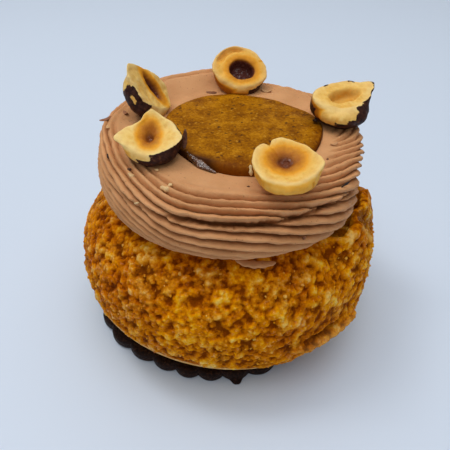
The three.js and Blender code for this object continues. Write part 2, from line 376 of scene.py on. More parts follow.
crust_turns = all_round(crust_columns)
tall = upright(crust_turns)
rim_heights = rim_height + tall_rim_rise * smooth_step(tall, 0.4, 1)
rim_heights = rim_heights + peak_rise * smooth_step(near(crust_turns, peak_turn, peak_spread), 0.15, 0.6)
heights = foot_height + (rim_heights - foot_height) * np.linspace(0, 1, profile_steps)[:, None]
row_places = np.concatenate([
    np.linspace(0, under_share, under_rows, endpoint=False),
    np.linspace(under_share, 1, crust_rows),
])
wall_radius, wall_height = along_profile(row_places, bun_form(heights, crust_turns), heights)
seat_reach = seat_radius + cream_aside * np.cos(np.radians(crust_turns))
seat_reach = seat_reach + tall_rim_gap * smooth_step(tall, 0, 0.4)
inner_radius = np.minimum(seat_reach, wall_radius[-1] - rim_width)
foot_shares = np.array([0.4, 0.8])[:, None]
rim_steps = np.array([[0.15, 0.25], [0.5, 0.35], [0.85, 0.1], [1, -0.4]])  # share of the way in, and rise
seat_shares = np.array([1, 0.6, 0.25])[:, None]
rim_radius = wall_radius[-1] + (inner_radius - wall_radius[-1]) * rim_steps[:, :1]
bun_rings = np.concatenate([
    turned_rings(crust_turns, foot_radius * foot_shares, foot_height),
    turned_rings(crust_turns, wall_radius, wall_height),
    turned_rings(crust_turns, rim_radius, rim_heights + rim_steps[:, 1:]),
    turned_rings(crust_turns, inner_radius * seat_shares, seat_height),
])


def whole_mark(on_wall, on_rim=0.0, on_seat=0.0):
    """A mark for all of the bun's rings: none on the foot, then the wall's, the rim's and the seat's."""
    foot = np.zeros((len(foot_shares), crust_columns))
    rim = np.full((len(rim_steps), crust_columns), on_rim)
    seat = np.full((len(seat_shares), crust_columns), on_seat)
    return np.concatenate([foot, on_wall, rim, seat])


# How craggy each place is: bare below the crust's edge, and smoother on the roll, the tall rim and the left.
rolled_crust = near(crust_turns, roll_turn, roll_spread + 8) * smooth_step(wall_height, 4, 6)
crust_edge = crust_start + 3.2 * near(crust_turns, -140, 60) + 0.5 * wave(crust_turns, 7)
above_edge = smooth_step(wall_height - crust_edge, -0.4, 0.8)
wall_crust = np.maximum(above_edge, smooth_step(rolled_crust, 0.1, 0.5))
wall_crust = wall_crust * (1 - 0.5 * smooth_step(row_places, 0.965, 1)[:, None])
above_roll = smooth_step(wall_height, 13, 15) * (1 - smooth_step(wall_height, 24, 28))
smoother = near(crust_turns, -52, 24) * above_roll
standing = near(crust_turns, -10, 24) * smooth_step(wall_height, 29, 33)
wall_crust = wall_crust * (1 - np.maximum(0.62 * smoother, 0.6 * standing))
wall_crust = wall_crust * (1 - 0.3 * near(crust_turns, 180, 60))

# Painted shade: the colour is darkened along the fold over the roll and in the sunk crust behind the cracked
# flap.
burnt = np.maximum(folded(wall_height, crust_turns), 0.7 * sunk(wall_height, crust_turns))
flap_edge = hump(past_split(wall_height, crust_turns), -1.0, 1.3) * smooth_step(wall_height, 31, 33)
roll_crest = hump(wall_height, roll_height, 0.7) * near(crust_turns, roll_turn, roll_spread)
paler = near(crust_turns, -97, 40) * hump(wall_height, 23, 8)
redder = near(crust_turns, -124, 24) * hump(wall_height, 27, 6)
bun = ringed_piece(
    "choux_crust", bun_rings, bun_axis,
    crusty=whole_mark(wall_crust, rim_crust, seat_crust),
    burnt=whole_mark(burnt),
    pale=whole_mark(np.maximum(flap_edge, 0.7 * roll_crest)),
    baked=whole_mark(paler - redder),
)


def start_recipe(name, amounts):
    """A Geometry Nodes tree, and wires for the geometry to work on and for each named amount."""
    tree = bpy.data.node_groups.new(name, "GeometryNodeTree")
    tree.interface.new_socket("Geometry", in_out="INPUT", socket_type="NodeSocketGeometry")
    for label, value in amounts.items():
        kind = "NodeSocketInt" if isinstance(value, int) else "NodeSocketFloat"
        tree.interface.new_socket(label, in_out="INPUT", socket_type=kind)
    tree.interface.new_socket("Geometry", in_out="OUTPUT", socket_type="NodeSocketGeometry")
    given = tree.nodes.new("NodeGroupInput").outputs
    return tree, {label: Wire(tree, given[label]) for label in ("Geometry", *amounts)}


def end_recipe(geometry, material):
    """Ends the geometry's tree in one mesh of that material, and gives back the tree."""
    tree = geometry.tree
    single = put(tree, "GeometryNodeRealizeInstances", {"Geometry": geometry})
    finished = put(tree, "GeometryNodeSetMaterial", {"Geometry": single, "Material": material})
    fill(tree.nodes.new("NodeGroupOutput"), {0: finished})
    return tree


def follow_recipe(piece, tree, amounts):
    """Runs a tree on the piece and keeps the result as its plain mesh."""
    modifier = piece.modifiers.new("recipe", "NODES")
    modifier.node_group = tree
    for item in tree.interface.items_tree:
        if item.item_type == "SOCKET" and item.in_out == "INPUT" and item.name in amounts:
            modifier[item.identifier] = amounts[item.name]
    depsgraph = bpy.context.evaluated_depsgraph_get()
    made = bpy.data.meshes.new_from_object(
        piece.evaluated_get(depsgraph), preserve_all_data_layers=True, depsgraph=depsgraph
    )
    piece.modifiers.remove(modifier)
    raw = piece.data
    piece.data = made
    bpy.data.meshes.remove(raw)
    made.name = piece.name
    made.shade_smooth()


def moved_out(geometry, distance):
    """Moves the skin along its normals by a distance in millimetres."""
    normal = put(geometry.tree, "GeometryNodeInputNormal", {})
    inputs = {"Geometry": geometry, "Offset": scaled(normal, distance * MM)}
    return put(geometry.tree, "GeometryNodeSetPosition", inputs)


def kept_mark(geometry, name, value, domain="POINT"):
    inputs = {"Geometry": geometry, "Name": name, "Value": value}
    kind = "GeometryNodeStoreNamedAttribute"
    return put(geometry.tree, kind, inputs, data_type="FLOAT", domain=domain)


def noise(place, size, detail, roughness=0.5):
    """Cloudy noise from about -1 to 1, with lumps of about that size in millimetres."""
    return speckle(place, size, detail, roughness) * 2.0 - 1.0


def mounds(place, size, softness=0.2):
    """Round lumps about `size` apart that run into each other: their height from 0 to 1, and a tone each."""
    lumps = place.tree.nodes.new("ShaderNodeTexVoronoi")
    lumps.feature = "SMOOTH_F1"
    fill(lumps, {"Vector": place, "Scale": 1.0 / size, "Smoothness": softness})
    away = Wire(place.tree, lumps.outputs["Distance"])
    tone = put(place.tree, "ShaderNodeSeparateXYZ", {0: Wire(place.tree, lumps.outputs["Color"])})
    return sum_of("MULTIPLY_ADD", away**2.0, -1.4, 1.0, clamp=True), tone


crust_amounts = {
    "Crumb": 1.8,
    "Crumb Height": 0.75,
    "Small Crumb": 1.05,
    "Small Crumb Height": 0.5,
    "Crag Size": 3.8,
    "Crag Height": 1.3,
    "Swell Size": 14.0,
    "Swell Height": 0.6,
    "Wander": 1.2,
    "Inset": 0.85,
}
tree, amount = start_recipe("cracked sugar crust", crust_amounts)
place = millimetres(tree)
wander = shifted(speckle(place, 1 / 0.55, 3.0, out="Color"), (-0.5, -0.5, -0.5))
wandered = shifted(place, scaled(wander, amount["Wander"]))
lump, tone = mounds(wandered, amount["Crumb"])
nubble, _ = mounds(wandered, amount["Small Crumb"])
crags = sum_of("SMOOTH_MAX", noise(wandered, amount["Crag Size"], 3.0, 0.55), -0.35, 0.25)
swell = noise(place, amount["Swell Size"], 1.0)
craggy = lump * amount["Crumb Height"] + nubble * amount["Small Crumb Height"] + crags * amount["Crag Height"]
relief = craggy + swell * amount["Swell Height"] - amount["Inset"]
geometry = kept_mark(amount["Geometry"], "crest", craggy)
geometry = kept_mark(geometry, "crumb_tone", tone)
geometry = moved_out(geometry, relief * mark_of(tree, "crusty"))

crust, shade, shader = food_finish("baked sugar crust")
place = millimetres(shade)
drift = scaled(speckle(place, 1 / 1.2, out="Color"), 0.8)
granules = cells(shifted(place, drift), 0.8)
fine_grain = speckle(place, 0.55, 3.0, 0.65) + 0.27 - granules * 0.55
# The crust's colour follows the crumbs' height: dark in the gaps between them and light on their tips. That
# is partly the crust's own colour, and partly painted shade in the gaps and painted highlight on the tips.
height = put(shade, "ShaderNodeMapRange", {0: mark_of(shade, "crest"), 1: 0.16, 2: 1.55}, clamp=False)
height = height + (fine_grain - 0.5) * 0.5 + (mark_of(shade, "crumb_tone") - 0.5) * 0.34
orange_crust = colour_steps(
    height,
    (0.04, (0.19, 0.034, 0.0)),
    (0.28, (0.44, 0.1, 0.0)),
    (0.52, (0.64, 0.172, 0.0)),
    (0.75, (0.78, 0.272, 0.004)),
    (1.0, (0.9, 0.47, 0.09)),
)
golden_crust = colour_steps(
    height,
    (0.04, (0.24, 0.048, 0.0)),
    (0.28, (0.55, 0.15, 0.0)),
    (0.52, (0.79, 0.264, 0.0)),
    (0.75, (0.93, 0.405, 0.002)),
    (1.0, (0.97, 0.61, 0.08)),
)
tan_crust = colour_steps(
    height,
    (0.06, (0.18, 0.045, 0.001)),
    (0.4, (0.52, 0.18, 0.004)),
    (0.7, (0.8, 0.38, 0.04)),
    (1.0, (0.94, 0.6, 0.2)),
)
bare_dough = colour_steps(
    speckle(place, 1.4, 4.0, 0.65),
    (0.32, (0.6, 0.26, 0.05)),
    (0.5, (0.8, 0.44, 0.13)),
    (0.7, (0.9, 0.62, 0.28)),
)
pale_edge = (0.86, 0.5, 0.12, 1)
burnt_fold = (0.14, 0.035, 0.002, 1)
patches = speckle(place, 11.0, 3.0, 0.55) + mark_of(shade, "baked") * 0.22
dusted = speckle(place, 5.0, 3.0, 0.6)
crust_colour = blend(ease(patches, 0.38, 0.6), orange_crust, golden_crust)
crust_colour = blend(ease(dusted, 0.46, 0.66, 0.0, 0.6), crust_colour, tan_crust)
crust_colour = blend(mark_of(shade, "pale") * 0.75, crust_colour, pale_edge)
# Painted shade in the fold and behind the flap.
crust_colour = blend(mark_of(shade, "burnt") * 0.85, crust_colour, burnt_fold)
crust_colour = blend(ease(mark_of(shade, "crusty"), 0.3, 0.05), crust_colour, bare_dough)
sugar = speckle(place, 0.7) + height * 0.25
fill(shader, {
    "Base Color": crust_colour,
    "Specular IOR Level": ease(sugar, 0.7, 0.8, 0.02, 0.5),
    "Roughness": ease(sugar, 0.7, 0.8, 0.5, 0.25),
    "Normal": roughened(fine_grain, 0.36),
})
follow_recipe(bun, end_recipe(geometry, crust), crust_amounts)
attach(bun, "root")
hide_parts("choux_bun")


# Crust crumbs: loose-looking nubs of baked sugar dough that stand on the crust in flocks.
# They are the same dough as the crust and baked onto it, dented lumps of about a millimetre.
crumb_amounts = {"Spacing": 1.6, "Smallest": 0.28, "Largest": 0.5, "Sink": 0.12, "Seed": 7}
most_crumbs = 4e5  # on a square metre, before the spacing thins them


def chance(tree, low, high, seed):
    return put(tree, "FunctionNodeRandomValue", {2: low, 3: high, "Seed": seed}, out=1)


tree, amount = start_recipe("crumbs on the crust", crumb_amounts)
place = millimetres(tree)
scatter = put(
    tree,
    "GeometryNodeDistributePointsOnFaces",
    {
        "Mesh": amount["Geometry"],
        "Distance Min": amount["Spacing"] * MM,
        "Density Max": most_crumbs,
        "Density Factor": ease(speckle(place, 5.0), 0.34, 0.6) * ease(mark_of(tree, "crusty"), 0.7, 0.9),
        "Seed": amount["Seed"],
    },
    out="Points",
    distribute_method="POISSON",
)
cube = {"Size": (2, 2, 2), "Vertices X": 3, "Vertices Y": 3, "Vertices Z": 3}
on_cube = put(tree, "GeometryNodeInputPosition", {})
on_ball = put(tree, "ShaderNodeVectorMath", {0: on_cube}, operation="NORMALIZE")
nub = put(tree, "GeometryNodeMeshCube", cube)
nub = put(tree, "GeometryNodeSetPosition", {"Geometry": nub, "Position": on_ball})
any_turn = {0: (0, 0, 0), 1: (6.28, 6.28, 6.28), "Seed": amount["Seed"]}
turning = put(tree, "FunctionNodeRandomValue", any_turn, data_type="FLOAT_VECTOR")
smallest = amount["Smallest"] * MM
largest = amount["Largest"] * MM
stretches = [chance(tree, smallest, largest, amount["Seed"] + step) for step in (1.0, 2.0, 3.0)]
stretch = put(tree, "ShaderNodeCombineXYZ", dict(enumerate(stretches)))
nubs = put(
    tree,
    "GeometryNodeInstanceOnPoints",
    {"Points": scatter, "Instance": nub, "Rotation": turning, "Scale": stretch},
)
nubs = kept_mark(nubs, "crumb_tone", chance(tree, 0.0, 1.0, 21), "INSTANCE")
# Each nub gets a random height for the colour, so most take the light colour of the crust's tips, partly a
# painted highlight.
nubs = kept_mark(nubs, "crest", chance(tree, 0.6, 1.35, 22), "INSTANCE")
nubs = kept_mark(nubs, "crusty", 1.0, "INSTANCE")
loose = put(tree, "GeometryNodeRealizeInstances", {"Geometry": nubs})
dents = speckle(place, 1 / 0.9) * 1.2 - 0.6
geometry = moved_out(loose, dents - amount["Sink"])
crumbs = shown("crust_crumbs", bun.data.copy())
follow_recipe(crumbs, end_recipe(geometry, crust), crumb_amounts)
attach(crumbs, "root")


# Piped cream: a thick ring of whipped praline cream, piped on the bun with a fluted nozzle.
# The nozzle leaves round ridges that wind down round the wall, the upper turn of piping rests on the
# lower one in a ragged crease, the end of the piping stands up at the back, and the top is smoothed.
cream_axis = bun_axis + (cream_aside, 0)
plug_radius = 26  # the cream below the ring, in the bun's seat
plug_bottom, plug_top = 35.7, 37.6
# The wall's profile from its foot to the well, as (radius, height), at the sides and where the front sags.
side_wall = [(30.4, 38.6), (32.6, 40.6), (34.0, 44.8), (33.3, 51), (30.6, 54.2), (22.9, 54.2)]
front_wall = [(30.4, 39.4), (32.5, 41.2), (33.3, 44.2), (31.8, 48.3), (28.6, 51.3), (22.9, 52.5)]
sag_turn, sag_spread = -78, 100
pinch_turn, pinch_spread, pinch_depth = -8, 46, 3.2  # the lower turn is drawn in at the right
shoulder_turn, shoulder_spread, shoulder_reach, shoulder_rise = 152, 50, 1.8, 0.8  # fuller at the back left
end_turn, end_step, end_fade, end_rise = 90, 7, 168, 4.3  # the end of the piping, a step that fades out
disc_radius = 19
well_gap = 0.2
well_offset_squared = 7.5  # the square of how far the disc's axis is from the cream's
well_floor = 50.2
brim_drop = 0.6
cream_columns = 640
cream_rows = 112
brim_rows = 7


def through(points, count):
    """A smooth curve through points, each a (radius, height) with a column for each turn."""
    last = len(points) - 1
    places = np.linspace(0, last, count)
    first = np.minimum(places.astype(int), last - 1)
    share = (places - first)[:, None, None]
    p0, p1 = points[np.maximum(first - 1, 0)], points[first]
    p2, p3 = points[first + 1], points[np.minimum(first + 2, last)]
    slope_in, slope_out = (p2 - p0) / 2, (p3 - p1) / 2
    cubed = 2 * (p1 - p2) + slope_in + slope_out
    squared = 3 * (p2 - p1) - 2 * slope_in - slope_out
    return ((cubed * share + squared) * share + slope_in) * share + p1


def disc_reach(turn):
    """Radius of the praline disc, which was laid down from the back right and slid to the back left."""
    return disc_radius + 1.5 * near(turn, 140, 60) - 1.7 * near(turn, 48, 55)


cream_turns = all_round(cream_columns)
sagged = near(cream_turns, sag_turn, sag_spread)[None, :, None]
side_points = np.array(side_wall, float)[:, None, :]
front_points = np.array(front_wall, float)[:, None, :]
cream_curve = through(side_points + (front_points - side_points) * sagged, profile_steps)
along = np.linspace(0, 1, cream_rows)
cream_radius, cream_height = along_profile(along, cream_curve[..., 0], cream_curve[..., 1])
along = along[:, None]
drawn_in = hump(along, 0.36, 0.2) * near(cream_turns, pinch_turn, pinch_spread)
at_shoulder = smooth_step(near(cream_turns, shoulder_turn, shoulder_spread), 0, 0.6)
shoulder = hump(along, 0.72, 0.16) * at_shoulder
past_end = cream_turns - end_turn
raised = smooth_step(past_end, 0, end_step) * (1 - smooth_step(past_end, end_step, end_fade - end_turn))
raised = raised * smooth_step(along, 0.5, 0.72) * (1 - smooth_step(along, 0.72, 1))
cream_radius = cream_radius - pinch_depth * drawn_in + shoulder_reach * shoulder
cream_height = cream_height + end_rise * raised + shoulder_rise * shoulder

well_aside = disc_axis - cream_axis
to_well = well_aside[0] * np.cos(np.radians(cream_turns)) + well_aside[1] * np.sin(np.radians(cream_turns))
well_reach = disc_reach(cream_turns) + well_gap
well = to_well + np.sqrt(well_reach**2 - well_offset_squared + to_well**2)
over_brim = np.linspace(0, 1, brim_rows + 1)[1:, None] * np.pi / 2
plug_shares = np.array([0.5, 1])[:, None]
well_shares = np.array([1, 0.5])[:, None]
cream_rings = np.concatenate([
    turned_rings(cream_turns, plug_radius * plug_shares, plug_bottom),
    turned_rings(cream_turns[None], plug_radius, plug_top),
    turned_rings(cream_turns, cream_radius, cream_height),
    turned_rings(
        cream_turns,
        cream_radius[-1] + (well - cream_radius[-1]) * np.sin(over_brim),
        cream_height[-1] - brim_drop * (1 - np.cos(over_brim)),
    ),
    turned_rings(cream_turns, well * well_shares, well_floor),
])
below = np.zeros((len(plug_shares) + 1, 1))
above = np.ones((brim_rows + len(well_shares), 1))
cream = ringed_piece(
    "piped_cream", cream_rings, cream_axis,
    along=np.concatenate([below, along, above]), turn=cream_turns / 360,
)


def between(wire, rise_from, rise_to, fall_from, fall_to):
    """1 between two places, after a smooth rise before them and until a smooth fall behind them."""
    return ease(wire, rise_from, rise_to) * ease(wire, fall_to, fall_from)


def cosine(degrees):
    return sum_of("COSINE", sum_of("RADIANS", degrees))


def bell(wire):
    """1 where the wire is 0, falling to nothing at about 2 to either side."""
    return sum_of("EXPONENT", wire**2.0 * -1.0)


cream_amounts = {
    "Ridges On Wall": 10.0,
    "More Ridges Below": 2.2,
    "Wider Ridges In Front": 3.4,
    "Finer Ridges At Left": 4.0,
    "Ridges Round": 18.0,
    "Ridge Sway": 3.0,
    "Ridge Depth": 1.8,
    "Ridge Lean": 0.8,
    "Groove Sharpness": 2.0,
    "Waver": 0.3,
    "Crimp": 0.16,
    "Grain": 0.24,
    "Crease Along": 0.55,
    "Crease Depth": 1.8,
    "Overhang": 0.75,
    "Top Unevenness": 0.35,
}
tree, amount = start_recipe("fluted piping", cream_amounts)
place = millimetres(tree)
share_up = mark_of(tree, "along")
share_round = mark_of(tree, "turn")
degrees = share_round * 360.0
in_front = between(degrees, 238.0, 284.0, 332.0, 359.0)
at_left = between(degrees, 100.0, 160.0, 205.0, 252.0)
behind = between(degrees, 15.0, 50.0, 165.0, 200.0)

# The ridges are counted up the wall and round it, so that each winds down as it goes round.
waver = (speckle(place, 1 / 0.11) - 0.5) * amount["Waver"] + noise(place, 2.4, 2.0) * amount["Crimp"]
lower_turn = sum_of("SMOOTH_MIN", share_up, amount["Crease Along"], 0.1)
more_below = amount["More Ridges Below"] - in_front * amount["Wider Ridges In Front"]
finer_above = (share_up - 1.0) * amount["Finer Ridges At Left"]
count = share_up * amount["Ridges On Wall"] + lower_turn * more_below + at_left * finer_above
count = count + share_round * amount["Ridges Round"] + waver
count = count - cosine(degrees + 95.0) * amount["Ridge Sway"]
ridge_number = sum_of("FLOORED_MODULO", sum_of("FLOOR", count), amount["Ridges Round"])
ridge_chance = put(tree, "ShaderNodeTexWhiteNoise", {"W": ridge_number}, noise_dimensions="1D")
up_ridge = sum_of("FRACT", count) ** amount["Ridge Lean"]
groove = sum_of("ABSOLUTE", up_ridge * 2.0 - 1.0) ** amount["Groove Sharpness"]
on_wall = ease(share_up, 0.0, 0.02) * ease(share_up + behind * 0.16, 0.99, 0.86)
deep = (ridge_chance * 0.4 + 0.8) * amount["Ridge Depth"]
deep = deep * (share_up * -0.3 + 1.2) * (in_front * 0.3 + 1.0)
deep = deep * ease(cosine(degrees), 0.5, 0.95, 1.0, 0.6) * (at_left * -0.2 + 1.0)

# The crease runs across the front under a lip of the upper turn, torn and lower towards its ends.
crease_here = between(degrees, 205.0, 225.0, 325.0, 345.0) * ease(degrees, 236.0, 258.0, 0.45, 1.0)
crease_line = amount["Crease Along"] - ease(degrees, 255.0, 235.0, 0.0, 0.05)
crease_line = crease_line - ease(degrees, 305.0, 335.0, 0.0, 0.16)
torn = noise(place, 1.8, 2.0, 0.6) * 0.042
off_crease = (share_up - crease_line + torn) / 0.03
cut = bell(off_crease)
lip = bell((off_crease - 2.0) / 1.5)
fold = lip * amount["Overhang"] - cut * amount["Crease Depth"]

relief = groove * on_wall * deep * -1.0 + fold * crease_here
relief = relief + noise(place, 6.25, 3.0) * amount["Top Unevenness"]
relief = relief + noise(place, 1.4, 2.0) * amount["Grain"] * (on_wall * 0.8 + 0.2)
# Painted shade: the cream's colour is darkened in the ridges' grooves, more so low on the wall, and in the
# crease.
shaded = groove * on_wall * (share_up * -0.3 + 1.1)
geometry = kept_mark(amount["Geometry"], "groove", sum_of("MAXIMUM", shaded, cut * crease_here))
geometry = moved_out(geometry, relief)

whipped, shade, shader = food_finish(
    "whipped praline cream",
    Roughness=0.55,
    Specular_IOR_Level=0.12,
    Subsurface_Weight=0.08,
    Subsurface_Radius=(1.0, 0.5, 0.25),
    Subsurface_Scale=MM,
)
place = millimetres(shade)
ground_nut = (0.3, 0.13, 0.055, 1)
shaded_cream = (0.28, 0.1, 0.03, 1)
cream_colour = colour_steps(
    speckle(place, 7.0, 3.0),
    (0.35, (0.585, 0.284, 0.119)),
    (0.65, (0.675, 0.343, 0.152)),
)
cream_colour = blend(ease(cells(place, 1.3), 0.14, 0.05, 0.0, 0.75), cream_colour, ground_nut)
# Painted shade in the grooves and the crease.
cream_colour = blend(ease(mark_of(shade, "groove"), 0.22, 0.88, 0.0, 0.85), cream_colour, shaded_cream)
fine_cream = speckle(place, 0.5, 3.0, 0.6)
fill(shader, {"Base Color": cream_colour, "Normal": roughened(fine_cream, 0.12)})
follow_recipe(cream, end_recipe(geometry, whipped), cream_amounts)
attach(cream, "root")
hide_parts("cream_ring")


# Praline disc: a thin puck of set hazelnut praline, golden brown with dark specks of ground nut.
# It is cast in a ring, laid in the well of the cream, and its edge has rounded as it thawed.
praline_underside = 50.4
praline_top = 55.0
praline_crown = 0.5  # how much the middle stands above the edge
praline_columns = 260
rounding_rows = 12
face_rows = 40

praline_turns = all_round(praline_columns)
front_edge = near(praline_turns, -105, 100)  # the edge that stands clear of the cream and has softened
edge_reach = disc_reach(praline_turns) + 0.3 * wave(praline_turns, 3, 40) + 0.2 * wave(praline_turns, 7)
edge_reach = edge_reach + 0.4 * (1 - front_edge)
edge_softness = 0.6 + 1.2 * front_edge
rounding = np.radians(np.linspace(0, 90, rounding_rows))[:, None]
face = np.linspace(1, 0.03, face_rows)[1:, None]
side_shares = np.array([0.5, 1])[:, None]
praline_rings = np.concatenate([
    turned_rings(praline_turns, edge_reach * side_shares, praline_underside),
    turned_rings(
        praline_turns,
        edge_reach - edge_softness * (1 - np.cos(rounding)),
        praline_top - praline_crown - edge_softness * (1 - np.sin(rounding)),
    ),
    turned_rings(praline_turns, face * (edge_reach - edge_softness), praline_top - praline_crown * face**2),
])
# The edge mark is full on the disc's side and fades over the rounding, most at the front and right. It gives
# painted shade there, and a rougher finish.
edge_mark = np.concatenate([
    np.ones((len(side_shares), 1)),
    1 - 0.5 * smooth_step(rounding, 0.4, 1.5),
    0.5 * smooth_step(face, 0.84, 1),
])
edge_mark = edge_mark * (0.3 + 0.7 * np.maximum(front_edge, near(praline_turns, -15, 45)))
# Near black on the disc's side at its front left: the dark wet syrup there, and painted shade of the gap
# between the disc and the cream.
wet_gap_shade_mark = smooth_step(edge_mark, 0.3, 0.7) * smooth_step(near(praline_turns, -138, 36), 0, 0.4)
praline = ringed_piece("praline_puck", praline_rings, disc_axis, edge=edge_mark, wept=wet_gap_shade_mark)

praline_amounts = {"Lump Size": 5.0, "Lump Height": 0.35, "Grit Size": 1.1, "Grit Height": 0.12}
tree, amount = start_recipe("set praline", praline_amounts)
place = millimetres(tree)
lumps = (speckle(place, amount["Lump Size"], 1.0) - 0.5) * amount["Lump Height"]
grit = (speckle(place, amount["Grit Size"]) - 0.5) * amount["Grit Height"]
geometry = moved_out(amount["Geometry"], lumps + grit)

gloss, shade, shader = food_finish("set hazelnut praline", Specular_IOR_Level=0.04)
place = millimetres(shade)
gold_dot = (0.62, 0.3, 0.03, 1)
dark_speck = (0.075, 0.026, 0.006, 1)
painted_edge_shade = (0.17, 0.04, 0.001, 1)
wet_gap_shade = (0.05, 0.013, 0.002, 1)
ground = speckle(place, 0.6, 3.0, 0.7) * 0.5 + speckle(place, 5.0, 3.0) * 0.5
praline_colour = colour_steps(
    ground,
    (0.38, (0.17, 0.05, 0.001)),
    (0.5, (0.33, 0.117, 0.001)),
    (0.61, (0.5, 0.205, 0.006)),
)
drifted = shifted(place, scaled(speckle(place, 1 / 1.5, out="Color"), 1.4))
scattered = shifted(drifted, (31.0, 17.0, 5.0))  # so that the specks lie apart from the dots
edge = mark_of(shade, "edge")
praline_colour = blend(ease(cells(drifted, 1.9), 0.24, 0.1, 0.0, 0.6), praline_colour, gold_dot)
praline_colour = blend(ease(cells(scattered, 2.0), 0.26, 0.12, 0.0, 0.92), praline_colour, dark_speck)
# Painted shade on the disc's side and rounded edge.
praline_colour = blend(edge * 0.9, praline_colour, painted_edge_shade)
# Dark wet syrup and painted shade in the gap at the front left edge.
praline_colour = blend(mark_of(shade, "wept"), praline_colour, wet_gap_shade)
wet = ease(speckle(place, 6.0), 0.35, 0.6, 0.2, 0.42) + edge * 0.3
fill(shader, {"Base Color": praline_colour, "Roughness": wet, "Normal": roughened(ground, 0.2)})
follow_recipe(praline, end_recipe(geometry, gloss), praline_amounts)
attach(praline, "root")
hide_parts("praline_disc")


# Hazelnut halves: five roasted hazelnuts, split by hand and pressed into the cream with the cut face up.
# The flesh is pale gold, toasted round the hollow where the seed lay, and the papery brown skin is left
# on parts of the round side. No two have the same outline.
nut_columns = 160
nut_rows = 110
half_rows = 60  # on the round side, and again on the face
belly = 0.36  # how far down the round side is widest
patch_fade = 20, 0.15  # degrees and share of the depth over which a patch grows from its edge

